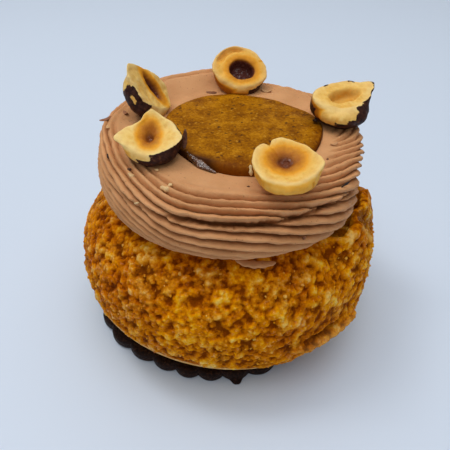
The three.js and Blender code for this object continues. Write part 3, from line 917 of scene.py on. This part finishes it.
# Each rim point is (turn in degrees round the face, reach, rise above the face). Each skin patch is
# (turn, spread in degrees, from, to), where 0 is the rim and 1 the bottom of the round side, and each
# browned patch is the same with how brown it is. A fold is (turn, spread, share of the reach, width, depth).
nut_halves = {
    "hazelnut_1": dict(
        at=(-19, 8.4, 60.4), facing=(0.78, -0.22, 0.6), half=6.7, depth=6.0, rounding=9,
        rim=[
            (-165, 8.4, 0.2), (-140, 6.0, 0.4), (-60, 3.9, 0.1), (-15, 5.2, 0), (11, 7.0, 0), (30, 7.0, 0),
            (58, 7.7, 0.2), (94, 6.7, 0.3), (131, 6.7, 0), (152, 7.8, 0.1), (172, 9.2, 0.2),
        ],
        hollow=dict(at=(0.1, 2.3), long=4.3, across=1.6, turn=-16, depth=2.0, steep=0.3),
        dish=0.5, roast=0.25, toast=0.75, toast_reach=0.9, char=0.75,
        skin=[
            (-112, 34, 0.04, 0.2), (-94, 16, 0.08, 1.2), (-138, 12, 0.14, 1.2), (-114, 36, 0.34, 1.2),
            (-50, 40, 0.3, 1.2), (-10, 50, 0.5, 1.2),
        ],
        browned=[(-124, 24, 0.1, 0.45, 0.12)],
    ),
    "hazelnut_2": dict(
        at=(3.6, 25.2, 60.2), facing=(0.1, -0.55, 0.83), half=7.3, depth=6.9, rounding=10,
        rim=[
            (-172, 8.2, 0), (-150, 7.2, -0.2), (-120, 5.9, -0.1), (-88, 6.0, 0), (-55, 6.2, 0),
            (-14, 8.2, -0.5), (18, 7.9, -0.3), (36, 7.1, 0), (70, 7.1, 0.2), (110, 7.7, 0.4), (148, 7.7, 0.2),
        ],
        hollow=dict(at=(0.6, -0.3), long=3.5, across=3.1, turn=0, depth=2.8, steep=0.72),
        dish=0.2, roast=1.0, toast=0.8, toast_reach=1.1, char=0.86, fold=(125, 60, 0.8, 0.08, 1.3),
        skin=[(-34, 34, 0.16, 1.2)],
        browned=[
            (-150, 60, 0.06, 1.2, 0.95), (-80, 60, 0.16, 1.2, 0.75), (30, 34, 0.0, 1.2, 0.8),
            (27, 9, -0.24, 0.2, 1.3),
        ],
    ),
    "hazelnut_3": dict(
        at=(28.2, 4.6, 60.6), facing=(0.1, -0.1, 0.98), half=7.3, depth=7.2, rounding=8,
        rim=[
            (-170, 7.8, -0.2), (-150, 6.7, -0.8), (-120, 4.6, -0.8), (-63, 4.0, -0.5), (-15, 5.2, 0),
            (22, 9.0, 0.6), (37, 12.2, 1.5), (52, 9.4, 0.9), (90, 7.4, 0.5), (130, 6.2, 0.2),
        ],
        hollow=dict(at=(0.9, 1.3), long=4.8, across=2.5, turn=28, depth=2.1, steep=0.6),
        dish=0.4, roast=0.42, toast=0.24, toast_reach=0.2, char=0.22,
        skin=[
            (18, 36, -0.05, 1.2), (-12, 40, 0.02, 1.2), (-32, 34, 0.14, 1.2), (-50, 34, 0.28, 1.2),
            (-70, 36, 0.42, 1.2), (-100, 60, 0.58, 1.2), (-176, 20, 0.26, 1.2), (126, 8, -0.1, 0.08),
            (66, 7, -0.1, 0.06),
        ],
        browned=[(-160, 30, 0.06, 0.8, 0.9)],
    ),
    "hazelnut_4": dict(
        at=(-16.6, -12, 59.3), facing=(0.02, -0.22, 0.97), half=6.6, depth=6.2, rounding=5,
        rim=[
            (-165, 8.4, 0.7), (-135, 6.0, -0.3), (-100, 5.9, -1.0), (-60, 5.6, -0.6), (-13, 7.2, 0.6),
            (15, 5.4, 0.5), (65, 5.2, 1.0), (96, 6.3, 2.2), (125, 4.3, 0.7), (150, 4.9, 0.2),
        ],
        hollow=dict(at=(-0.6, 0.2), long=2.4, across=1.6, turn=95, depth=1.4, steep=0.05),
        dish=1.0, roast=0.05, toast=0.9, toast_reach=1.6, char=0.5,
        skin=[(-42, 44, -0.01, 1.2), (-85, 30, 0.24, 1.2), (-125, 45, 0.5, 1.2), (30, 60, 0.05, 1.2)],
        browned=[(-145, 26, 0.05, 0.5, 0.35)],
    ),
    "hazelnut_5": dict(
        at=(12.1, -22, 58.7), facing=(-0.04, -0.16, 0.99), half=6.9, depth=6.0, rounding=7,
        rim=[
            (-178, 7.3, 0.0), (-145, 7.0, -0.7), (-105, 5.8, -1.1), (-60, 5.8, -1.0), (-30, 6.8, -0.2),
            (-10, 7.6, 0.3), (25, 6.3, 0.2), (60, 6.3, 0.3), (100, 7.3, 0.4), (115, 7.4, 0.2),
            (121, 6.1, -0.4), (127, 7.5, 0.2), (145, 7.8, 0.4),
        ],
        hollow=dict(at=(-0.3, 1.3), long=2.8, across=2.4, turn=0, depth=1.1, steep=0.05),
        dish=1.6, roast=0.5, toast=0.86, toast_reach=1.4, char=0.62,
        skin=[],
        browned=[(-47, 12, 0.12, 0.6, 1.0), (-170, 30, 0.05, 0.5, 0.4), (-90, 90, -0.02, 1.2, 0.3)],
    ),
}


def softened(rows, width):
    """Rows of a profile, rounded off over `width` rows, with the ends kept."""
    kernel = np.hanning(2 * width + 1)
    first = np.repeat(rows[:1], width, axis=0)
    last = np.repeat(rows[-1:], width, axis=0)
    padded = np.concatenate([first, rows, last])
    spread = [padded[i : i + len(rows)] * weight for i, weight in enumerate(kernel / kernel.sum())]
    return np.sum(spread, axis=0)


def rim_curve(points, column):
    """A rim value round the face: straight from point to point, then softened over a few degrees."""
    fine = np.arange(0, 360, 0.5)
    turns = [p[0] for p in points]
    curve = np.interp(fine, turns, [p[column] for p in points], period=360)
    kernel = np.hanning(23)
    padded = np.concatenate([curve[-11:], curve, curve[:11]])
    soft = np.convolve(padded, kernel / kernel.sum(), mode="valid")
    return np.interp(all_round(nut_columns), fine, soft, period=360)


def nut_form(nut, turns):
    """A half's rings, from the bottom of its round side to the middle of its face, and how far from the rim
    each point lies: up to 1 down the side, and down to -1 across the face."""
    reach = rim_curve(nut["rim"], 1)
    rise = rim_curve(nut["rim"], 2)
    down = np.sin(np.linspace(90, 0, half_rows) * np.pi / 180)[:, None] * 0.998
    lower = nut["half"] * np.sqrt(np.clip(1 - ((down - belly) / (1 - belly)) ** 2, 0, 1))
    upper = reach + (nut["half"] - reach) * np.sin(np.minimum(down / belly, 1) * np.pi / 2)
    side_radius = np.where(down > belly, lower, upper)
    side_height = rise * (1 - down) ** 2 - nut["depth"] * down
    inwards = np.linspace(1, 0.02, half_rows)[1:, None]
    rounder = reach.mean() + (reach - reach.mean()) * smooth_step(inwards, 0.55, 1)
    face_height = rise * inwards**1.5 - nut["dish"] * (1 - inwards**2) ** 1.5
    radius = np.concatenate([side_radius, rounder * inwards])
    height = np.concatenate([side_height, face_height])
    from_rim = np.concatenate([down, -inwards[::-1]]) + 0 * turns
    radius, height, from_rim = along_profile(np.linspace(0, 1, nut_rows), radius, height, from_rim)
    rings = turned_rings(turns, softened(radius, nut["rounding"]), softened(height, nut["rounding"]))
    return rings, from_rim


def patch(turns, from_rim, turn, spread, start, end):
    """Above 0 inside a patch on the nut's side, growing towards its middle."""
    turn_fade, depth_fade = patch_fade
    inside = (spread - np.abs(turn_from(turns, turn))) / turn_fade
    inside = np.minimum(inside, (from_rim - start) / depth_fade)
    return np.minimum(inside, (end - from_rim) / depth_fade)


def nut_piece(name, nut):
    """A half with its hollow and fold pressed in, its marks for the finish, and its lie on the cream."""
    turns = all_round(nut_columns)
    rings, from_rim = nut_form(nut, turns)
    on_face = smooth_step(-from_rim, -0.02, 0.02)
    hollow = nut["hollow"]
    aside = rings[..., :2] - hollow["at"]
    lie = math.radians(hollow["turn"])
    lengthwise = aside[..., 0] * math.cos(lie) + aside[..., 1] * math.sin(lie)
    crosswise = aside[..., 1] * math.cos(lie) - aside[..., 0] * math.sin(lie)
    from_hollow = np.hypot(lengthwise / hollow["long"], crosswise / hollow["across"])
    rings[..., 2] -= hollow["depth"] * (1 - smooth_step(from_hollow, hollow["steep"], 1.1)) * on_face
    if "fold" in nut:
        turn, spread, share, width, deep = nut["fold"]
        line = hump(1 + from_rim, share, width) * on_face
        rings[..., 2] -= deep * line * smooth_step(near(turns, turn, spread), 0, 0.6)
    toast = nut["toast"] * (1 - smooth_step(from_hollow, 0.8, 1 + nut["toast_reach"])) * on_face
    for *where, brown in nut["browned"]:
        toast = np.maximum(toast, brown * smooth_step(patch(turns, from_rim, *where), 0, 1))
    char_start = max(0.35, 0.2 + hollow["steep"])
    char = nut["char"] * (1 - smooth_step(from_hollow, char_start, 1.1)) * on_face
    skin = np.full(rings.shape[:2], -1.0)
    for where in nut["skin"]:
        skin = np.maximum(skin, patch(turns, from_rim, *where))
    facing = Vector(nut["facing"]).normalized()
    turned = np.array(Vector((0, 0, 1)).rotation_difference(facing).to_matrix())
    return ringed_piece(
        name + "_half", rings @ turned.T + nut["at"], bun_axis,
        toast=toast, char=char, skin=np.clip(skin, -1, 1), edge=hump(from_rim, 0, 0.16), roast=nut["roast"],
    )


nut_amounts = {"Lump Size": 4.0, "Lump Height": 0.5, "Fibre Size": 1.2, "Fibre Height": 0.14}
tree, amount = start_recipe("uneven nut", nut_amounts)
place = millimetres(tree)
unevenness = noise(place, amount["Lump Size"], 1.0) * amount["Lump Height"]
unevenness = unevenness + noise(place, amount["Fibre Size"], 2.0) * amount["Fibre Height"]
geometry = moved_out(amount["Geometry"], unevenness)

roasted, shade, shader = food_finish(
    "roasted hazelnut",
    Subsurface_Weight=0.08,
    Subsurface_Radius=(1.0, 0.6, 0.25),
    Subsurface_Scale=MM,
)
place = millimetres(shade)
char = mark_of(shade, "char")
fibres = speckle(place, 1.8, 4.0, 0.6)
toasted = (fibres - 0.5) * 0.5 + mark_of(shade, "toast")
ragged = (speckle(place, 1.4, 4.0) - 0.5) * 1.1 + mark_of(shade, "skin")
skin_here = ease(ragged, -0.06, 0.06)
pit_grain = speckle(place, 0.8)
rim_highlight = (0.96, 0.75, 0.36, 1)
pale_flesh = colour_steps(
    fibres,
    (0.3, (0.82, 0.47, 0.09)),
    (0.55, (0.93, 0.64, 0.2)),
    (0.75, (0.96, 0.75, 0.36)),
)
golden_flesh = colour_steps(
    fibres,
    (0.3, (0.68, 0.29, 0.025)),
    (0.55, (0.83, 0.42, 0.045)),
    (0.75, (0.9, 0.56, 0.13)),
)
toast_colour = colour_steps(
    toasted,
    (0.1, (0.92, 0.56, 0.12)),
    (0.45, (0.84, 0.36, 0.02)),
    (0.9, (0.42, 0.13, 0.008)),
)
char_colour = colour_steps(
    char,
    (0.35, (0.24, 0.07, 0.01)),
    (0.75, (0.125, 0.03, 0.018)),
    (1.0, (0.05, 0.011, 0.011)),
)
skin_colour = colour_steps(
    speckle(place, 1.0, 4.0, 0.6),
    (0.35, (0.018, 0.006, 0.006)),
    (0.6, (0.06, 0.02, 0.012)),
    (0.8, (0.2, 0.08, 0.03)),
)
nut_colour = blend(mark_of(shade, "roast"), pale_flesh, golden_flesh)
# Painted highlight: the flesh is paler along the rim, where light catches it and shines through the thin
# edge.
nut_colour = blend(mark_of(shade, "edge") * 0.45, nut_colour, rim_highlight)
nut_colour = blend(ease(toasted, 0.0, 0.3), nut_colour, toast_colour)
nut_colour = blend(ease(char, 0.0, 0.6), nut_colour, char_colour)
nut_colour = blend(skin_here, nut_colour, skin_colour)
pit_shine = ease(char, 0.25, 0.55) * pit_grain
nut_bump = fibres + skin_here * 0.6 + pit_grain * char * 4.0
fill(shader, {
    "Base Color": nut_colour,
    "Roughness": ease(pit_shine, 0.52, 0.64, 0.48, 0.2),
    "Specular IOR Level": ease(pit_shine, 0.52, 0.64, 0.14, 0.9),
    "Normal": roughened(nut_bump, 0.18),
})
end_recipe(geometry, roasted)
for name, nut in nut_halves.items():
    half = nut_piece(name, nut)
    follow_recipe(half, tree, nut_amounts)
    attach(half, "root")
    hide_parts(name)


# Squeezed-out cream: a tongue pressed out between the ring and the crust at the front.
# It is the same praline cream, flattened, and it thins out to the right.
tongue_path = [
    (1.6, -29.7, 38.4), (3.5, -30.0, 37.7), (6.1, -30.2, 37.4), (8.6, -29.9, 37.3), (10.6, -29.1, 37.0),
]
tongue_half_width, tongue_half_height, tongue_tip = 1.0, 0.5, 0.05
tongue_steps = 40


def strand(points, half_widths, half_heights, sides, up=(0, 0, 1)):
    """A flattened round strand along points, as rings that run from one end to the other."""
    heading = np.gradient(points, axis=0)
    heading /= np.linalg.norm(heading, axis=1, keepdims=True)
    across = np.cross(heading, up)
    across /= np.linalg.norm(across, axis=1, keepdims=True)
    upwards = np.cross(across, heading)
    round_angles = np.linspace(0, 2 * np.pi, sides, endpoint=False)[None, :, None]
    wide = across[:, None, :] * np.cos(round_angles) * np.reshape(half_widths, (-1, 1, 1))
    high = upwards[:, None, :] * np.sin(round_angles) * np.reshape(half_heights, (-1, 1, 1))
    return points[:, None, :] + wide + high


tongue_curve = through(np.array(tongue_path)[:, None, :], tongue_steps)[:, 0, :]
tongue_share = np.linspace(0, 1, tongue_steps)
tongue_swell = np.sin(np.pi * tongue_share) ** 0.6
tongue_ripple = 1 + 0.15 * np.sin(tongue_share * 31) + 0.05 * np.sin(tongue_share * 67)
tongue_rings = strand(
    tongue_curve,
    tongue_half_width * tongue_swell * tongue_ripple + tongue_tip,
    tongue_half_height * tongue_swell + tongue_tip,
    sides=24,
)
tongue = ringed_piece("squeezed_cream", tongue_rings, bun_axis)
tongue.data.materials.append(whipped)
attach(tongue, "root")


# Praline syrup: a thin dark film that wept from the disc into the gap at its front left edge.
# It is wet and glossy, so it catches the light in broken white glints.
syrup_start, syrup_end = -142, -109  # turns round the disc
syrup_radius, syrup_spread = 17.9, 2.2  # it runs outwards and down from its start to its end
syrup_height, syrup_drop = 54.3, 1.5
syrup_half_width, syrup_half_height, syrup_tip = 0.8, 0.4, 0.02
syrup_slope = math.radians(28)  # how far the film leans outwards
syrup_steps = 130

syrup_turns = np.linspace(syrup_start, syrup_end, syrup_steps)
syrup_share = np.linspace(0, 1, syrup_steps)
syrup_swell = np.sin(np.pi * syrup_share) ** 0.5
syrup_ripple = 1 + 0.2 * wave(syrup_turns, 11) + 0.15 * wave(syrup_turns, 29)
syrup_rings = strand(
    turned_rings(
        syrup_turns, syrup_radius + syrup_spread * syrup_share, syrup_height - syrup_drop * syrup_share
    ),
    syrup_half_width * syrup_swell * syrup_ripple + syrup_tip,
    syrup_half_height * syrup_swell + syrup_tip,
    sides=14,
    up=turned_rings(syrup_turns, math.sin(syrup_slope), math.cos(syrup_slope)),
)
syrup = ringed_piece("praline_syrup", syrup_rings, disc_axis)

wept, shade, shader = food_finish("wept praline syrup", Roughness=0.08, Specular_IOR_Level=1.0)
beads = speckle(millimetres(shade), 0.9, 3.0, 0.6)
syrup_colour = colour_steps(beads, (0.35, (0.04, 0.012, 0.003)), (0.65, (0.16, 0.05, 0.008)))
fill(shader, {"Base Color": syrup_colour, "Normal": roughened(beads, 0.42)})
syrup.data.materials.append(wept)
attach(syrup, "root")


# Flakes of hazelnut skin and loose bits of nut: what fell from the nuts as they were split.
# The flakes are papery and curl up, the bits are crumbs of flesh and of roasted skin, stuck to the cream.
# Three near-black bits are painted shade in narrow slots, and one near-white bit on the disc's front edge is
# a painted glint.
flake_half_thickness = 0.09
scrap_sides = 10
flakes = [
    # where its middle is, which way it runs, length, half width, how far it bows up, tone
    ((-30.8, 4.2, 54.9), (0.9, 0.35, 0.2), 3.0, 0.75, 0.35, 0.44),
    ((-26.1, 7.0, 55.25), (0.5, -0.8, 0.1), 2.4, 0.55, 0.5, 0.5),
    ((-23.7, 3.3, 54.65), (0.9, -0.3, 0), 2.2, 0.6, 0.4, 0.62),
    ((-29.2, -0.3, 55.0), (0.2, -0.9, 0.1), 2.4, 0.5, 0.3, 0.75),
    ((11.2, 22.9, 54.6), (0.95, -0.3, 0), 3.0, 0.8, 0.7, 0.7),
    ((25.1, -6.5, 53.8), (0.9, 0.4, 0), 2.2, 0.4, 0.35, 0.62),
    ((21.8, 2.7, 55.3), (0.5, 0.8, 0), 2.0, 0.5, 0.9, 0.1),
    ((-4.5, 22.3, 54.3), (1, -0.3, 0), 3.2, 0.9, 0.1, 0.36),
    ((-9.6, -11.0, 57.2), (0.1, 0.45, 0.9), 4.4, 0.6, 0.5, 0.28),
]
bits = [
    # where its middle is, which way it runs, length, width, tone
    # This near-black bit is painted shade in a narrow slot in the cream.
    ((25.3, -20.2, 51.6), (0.8, 0.2, 0.55), 2.3, 0.5, 0.0),
    ((15.8, -29.8, 44.6), (0.05, -0.3, 0.95), 1.8, 0.55, 0.36),
    ((32.7, -5.8, 51.0), (0.4, 0.2, 0.9), 0.7, 0.4, 0.3),
    ((32.8, -3.4, 49.8), (0.3, 0.2, 0.9), 0.6, 0.35, 0.3),
    # These two near-black bits are painted shade in narrow slots at the left.
    ((-27.2, -11.5, 53.4), (0.3, -0.7, -0.6), 1.3, 0.5, 0.02),
    ((-25.7, -10.5, 53.4), (0.3, -0.7, -0.5), 1.1, 0.5, 0.05),
    ((-21.4, -17.1, 53.4), (0.8, -0.4, 0), 1.1, 0.7, 0.15),
    ((4.3, -22.3, 52.5), (1, 0.2, 0), 0.7, 0.45, 0.28),
    ((22.6, -12.2, 53.1), (0.7, 0.5, 0), 0.7, 0.4, 0.3),
    ((-20.7, -19.0, 53.0), (0.6, -0.5, -0.3), 1.9, 1.2, 0.78),
    ((-13.0, -23.2, 52.5), (0.9, -0.3, -0.2), 2.5, 1.4, 0.8),
    ((-12.2, -22.0, 52.6), (0.5, 0.6, 0), 1.4, 0.9, 0.84),
    ((-19.1, -24.6, 49.9), (0.8, -0.3, 0.4), 1.4, 0.45, 0.9),
    ((-15.4, -17.6, 53.6), (0.7, -0.5, 0), 1.2, 0.7, 0.82),
    ((-6.2, -19.4, 52.6), (0.9, 0.2, 0), 0.9, 0.5, 0.85),
    # This near-white bit on the disc's front edge by the fifth nut is a painted glint.
    ((5.0, -17.5, 53.4), (0.1, -0.35, -0.95), 2.5, 1.0, 0.98),
]


def scrap_run(middle, heading, length, steps):
    """Shares from -1 to 1 along a scrap, its points there, and how it narrows to its ends."""
    heading = np.array(heading) / np.linalg.norm(heading)
    share = np.linspace(-1, 1, steps)[:, None]
    taper = np.sqrt(np.clip(1.02 - share**2, 0, 1))[:, 0]
    return share, middle + heading * share * length / 2, taper


fallen = []
for middle, heading, length, half_width, bow, tone in flakes:
    share, path, taper = scrap_run(middle, heading, length, 13)
    bowed = path + np.array((0, 0, bow)) * (share**2 - 0.4)
    fallen.append((strand(bowed, half_width * taper, flake_half_thickness + 0 * taper, scrap_sides), tone))
for middle, heading, length, width, tone in bits:
    share, path, taper = scrap_run(middle, heading, length, 9)
    lumpy = taper * (1 + 0.25 * np.sin(share[:, 0] * 5))
    fallen.append((strand(path, width / 2 * lumpy, width / 2.6 * lumpy, scrap_sides), tone))
joined = bpy.data.meshes.new("skin_flakes_and_bits")
heap = bmesh.new()
for rings, tone in fallen:
    single = ringed_piece("bit", rings, bun_axis, tone=tone)
    heap.from_mesh(single.data)
    bpy.data.meshes.remove(single.data)
heap.to_mesh(joined)
heap.free()
joined.shade_smooth()
scraps = shown("skin_flakes_and_bits", joined)

nut_scraps, shade, shader = food_finish("scraps of nut", Roughness=0.5, Specular_IOR_Level=0.3)
mottle = speckle(millimetres(shade), 0.7, 3.0, 0.6)
scrap_colour = colour_steps(
    (mottle - 0.5) * 0.35 + mark_of(shade, "tone"),
    (0.0, (0.012, 0.005, 0.004)),
    (0.25, (0.09, 0.03, 0.015)),
    (0.5, (0.36, 0.14, 0.06)),
    (0.7, (0.62, 0.34, 0.15)),
    (1.0, (0.9, 0.72, 0.36)),
)
fill(shader, {"Base Color": scrap_colour, "Normal": roughened(mottle, 0.2)})
joined.materials.append(nut_scraps)
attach(scraps, "root")


# Studio: a plain pale floor under the bun, with broad soft light from above and behind on the left.
# The camera stands close and looks down on the front of the bun, as a hand-held camera would.
floor_size = 4.0
camera_aside = (-0.6, -100.5)  # from the bun's axis
camera_height = 106
camera_tilt = 39.27  # degrees below level

floor_mesh = bpy.data.meshes.new("floor")
corners = [(-1, -1, 0), (1, -1, 0), (1, 1, 0), (-1, 1, 0)]
floor_mesh.from_pydata([tuple(c * floor_size / 2 for c in corner) for corner in corners], [], [(0, 1, 2, 3)])
floor = shown("floor", floor_mesh)
pale_floor, _, _ = food_finish("pale floor", Base_Color=(0.68, 0.77, 0.9, 1), Roughness=0.7)
floor_mesh.materials.append(pale_floor)

world = bpy.data.worlds.new("studio")
world.use_nodes = True
fill(world.node_tree.nodes["Background"], {"Color": (0.93, 0.96, 1.0, 1), "Strength": 0.18})
bpy.context.scene.world = world


def soft_light(name, place, aim, size, power):
    lamp = bpy.data.lights.new(name, "AREA")
    lamp.shape = "DISK"
    lamp.size = size
    lamp.energy = power
    lamp_object = shown(name, lamp)
    lamp_object.location = place
    lamp_object.rotation_euler = (Vector(aim) - Vector(place)).to_track_quat("-Z", "Y").to_euler()


soft_light("overhead", (-0.03, 0.05, 1.0), (0, 0, 0.04), 1.5, 8.2)
soft_light("small_lamp", (-0.36, 0.18, 0.9), (0, 0, 0.04), 0.26, 1.6)
soft_light("front_fill", (-0.1, -0.9, 0.6), (0, 0, 0.03), 0.8, 1.3)

camera_data = bpy.data.cameras.new("camera")
camera_data.lens = 36
camera_data.sensor_width = 36
camera_data.clip_start = 0.01
camera = shown("camera", camera_data)
camera.location = Vector((*(bun_axis + camera_aside), camera_height)) * MM
camera.rotation_euler = (math.radians(90 - camera_tilt), 0, 0)
bpy.context.scene.camera = camera
bpy.context.scene.view_settings.view_transform = "Standard"
